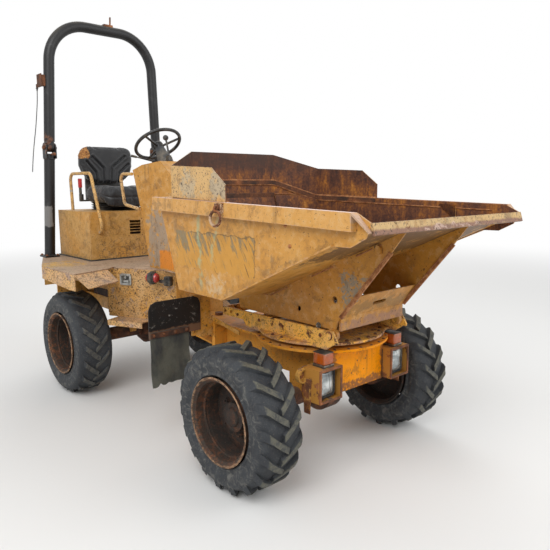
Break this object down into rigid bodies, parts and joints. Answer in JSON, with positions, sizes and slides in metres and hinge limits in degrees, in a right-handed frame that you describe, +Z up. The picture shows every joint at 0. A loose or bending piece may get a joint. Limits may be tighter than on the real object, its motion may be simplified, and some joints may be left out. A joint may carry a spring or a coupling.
{
  "type": "articulated site dumper with a swivelling skip",
  "caption": "Worn articulated site dumper: swivelling, forward-tipping skip on the front chassis, open operator's seat, console and folding roll bar on the rear chassis.",
  "frame": {"origin": "on the ground, midway between the axles, below the articulation pin", "axes": "+X forward, +Y to the machine's left, +Z up"},
  "size_m": [3.7799, 1.63, 3.0343],
  "materials": {
    "body_paint": "faded and rusting yellow paint",
    "chassis_paint": "yellow paint, oily and scuffed",
    "skip_paint": "worn yellow paint, rusty inside",
    "black_paint": "chipped black paint",
    "rusty_steel": "rusted bare steel",
    "bright_steel": "oiled bright steel",
    "rim_paint": "dark rusted rim",
    "axle_iron": "greasy rusted casting",
    "engine_grey": "plain dark casting",
    "tyre": "weathered rubber",
    "rubber": "dull black rubber",
    "seat_vinyl": "black vinyl, dusty and torn",
    "lamp_lens": "clear lens",
    "amber_lens": "amber lens",
    "red_lens": "red lens",
    "red_plastic": "faded red",
    "black_plastic": "black moulding"
  },
  "bodies": {
    "rear_chassis": {"rear_frame": "body_paint", "rear_axle": "axle_iron", "engine_block": "engine_grey", "side_panels": "body_paint", "rear_deck": "body_paint", "rear_fenders": "body_paint", "rear_panel": "body_paint", "steps": "body_paint", "articulation_pin": "rusty_steel", "console": "body_paint", "steering_column": "black_plastic", "console_handle": "black_paint", "control_levers": "black_plastic", "marker_lamps": "red_lens", "latches": "black_paint", "rollbar_legs": "black_paint"},
    "front_chassis": {"front_frame": "chassis_paint", "front_axle": "axle_iron", "slew_ring": "rusty_steel", "headlamp_boxes": "chassis_paint", "headlamps": "lamp_lens", "lamp_brackets": "chassis_paint", "front_indicators": "amber_lens", "mudguard_plates": "black_paint", "mudguard_posts": "chassis_paint", "mud_flaps": "rubber"},
    "turntable": {"turntable": "chassis_paint"},
    "tip_barrel": {"tip_ram_barrel": "black_paint"},
    "tip_rod": {"tip_ram_rod": "bright_steel"},
    "skip": {"skip_side_right": "skip_paint", "skip_side_left": "skip_paint", "skip_floor": "skip_paint", "skip_back": "skip_paint", "skip_rims": "skip_paint", "spill_guard": "skip_paint", "skip_lip": "rusty_steel", "skip_under_frame": "chassis_paint", "lifting_lugs": "rusty_steel"},
    "steer_barrel": {"steer_ram_barrel": "black_paint"},
    "steer_rod": {"steer_ram_rod": "bright_steel"},
    "steering_wheel": {"steering_wheel": "black_plastic"},
    "rollbar_hoop": {"rollbar_hoop": "black_paint", "hoop_brackets": "rusty_steel", "loose_cable": "black_plastic"},
    "engine_cover": {"engine_cover": "body_paint", "seat_bellows": "rubber", "seat_frame": "black_plastic", "seat_cushion": "seat_vinyl", "seat_back": "seat_vinyl", "belt_buckle": "red_plastic", "seat_handle": "body_paint"},
    "wheel_front_right": {"tyre_front_right": "tyre", "rim_front_right": "rim_paint"},
    "wheel_front_left": {"tyre_front_left": "tyre", "rim_front_left": "rim_paint"},
    "wheel_rear_right": {"tyre_rear_right": "tyre", "rim_rear_right": "rim_paint"},
    "wheel_rear_left": {"tyre_rear_left": "tyre", "rim_rear_left": "rim_paint"}
  },
  "joints": [
    {"name": "articulation", "type": "hinge", "parent": "rear_chassis", "child": "front_chassis", "pos_m": [0, 0, 0.581], "axis": [0, 0, 1], "range_deg": [-33, 33]},
    {"name": "spin_front_right", "type": "hinge", "parent": "front_chassis", "child": "wheel_front_right", "pos_m": [1.015, -0.6375, 0.39], "axis": [0, 1, 0], "continuous": true},
    {"name": "spin_front_left", "type": "hinge", "parent": "front_chassis", "child": "wheel_front_left", "pos_m": [1.015, 0.6375, 0.39], "axis": [0, 1, 0], "continuous": true},
    {"name": "spin_rear_right", "type": "hinge", "parent": "rear_chassis", "child": "wheel_rear_right", "pos_m": [-1.015, -0.6375, 0.39], "axis": [0, 1, 0], "continuous": true},
    {"name": "spin_rear_left", "type": "hinge", "parent": "rear_chassis", "child": "wheel_rear_left", "pos_m": [-1.015, 0.6375, 0.39], "axis": [0, 1, 0], "continuous": true},
    {"name": "skip_swivel", "type": "hinge", "parent": "front_chassis", "child": "turntable", "pos_m": [1.015, 0, 0.747], "axis": [0, 0, 1], "range_deg": [-90, 90]},
    {"name": "skip_tip", "type": "hinge", "parent": "turntable", "child": "skip", "pos_m": [1.35, 0, 0.825], "axis": [0, 1, 0], "range_deg": [0, 65]},
    {"name": "tip_ram_tilt", "type": "hinge", "parent": "turntable", "child": "tip_barrel", "pos_m": [0.565, 0, 0.8], "axis": [0, 1, 0], "range_deg": [-8.5, 0.5]},
    {"name": "tip_ram_stroke", "type": "slide", "parent": "tip_barrel", "child": "tip_rod", "axis": [0.9738, 0, 0.2275], "range_m": [-0.001, 0.2767]},
    {"name": "steer_ram_swing", "type": "hinge", "parent": "rear_chassis", "child": "steer_barrel", "pos_m": [-0.52, -0.17, 0.581], "axis": [0, 0, 1], "range_deg": [-1, 1]},
    {"name": "steer_ram_stroke", "type": "slide", "parent": "steer_barrel", "child": "steer_rod", "axis": [1, 0, 0], "range_m": [-0.094, 0.094]},
    {"name": "steering", "type": "hinge", "parent": "rear_chassis", "child": "steering_wheel", "pos_m": [-0.76, 0, 1.905], "axis": [-0.5736, 0, 0.8192], "range_deg": [-640, 640]},
    {"name": "rollbar_fold", "type": "hinge", "parent": "rear_chassis", "child": "rollbar_hoop", "pos_m": [-1.65473, 0, 1.9], "axis": [0, 1, 0], "range_deg": [-95, 0]},
    {"name": "engine_cover_lift", "type": "hinge", "parent": "rear_chassis", "child": "engine_cover", "pos_m": [-1.758, 0, 0.996], "axis": [0, 1, 0], "range_deg": [-50, 0]}
  ],
  "couplings": [
    {"joint": "tip_ram_tilt", "follows": "skip_tip", "ratio": -0.11903},
    {"joint": "tip_ram_stroke", "follows": "skip_tip", "m_per_rad": 0.24217},
    {"joint": "steer_ram_swing", "follows": "articulation", "ratio": -0.01679},
    {"joint": "steer_ram_stroke", "follows": "articulation", "m_per_rad": 0.16053},
    {"joint": "steering", "follows": "articulation", "ratio": 19}
  ]
}
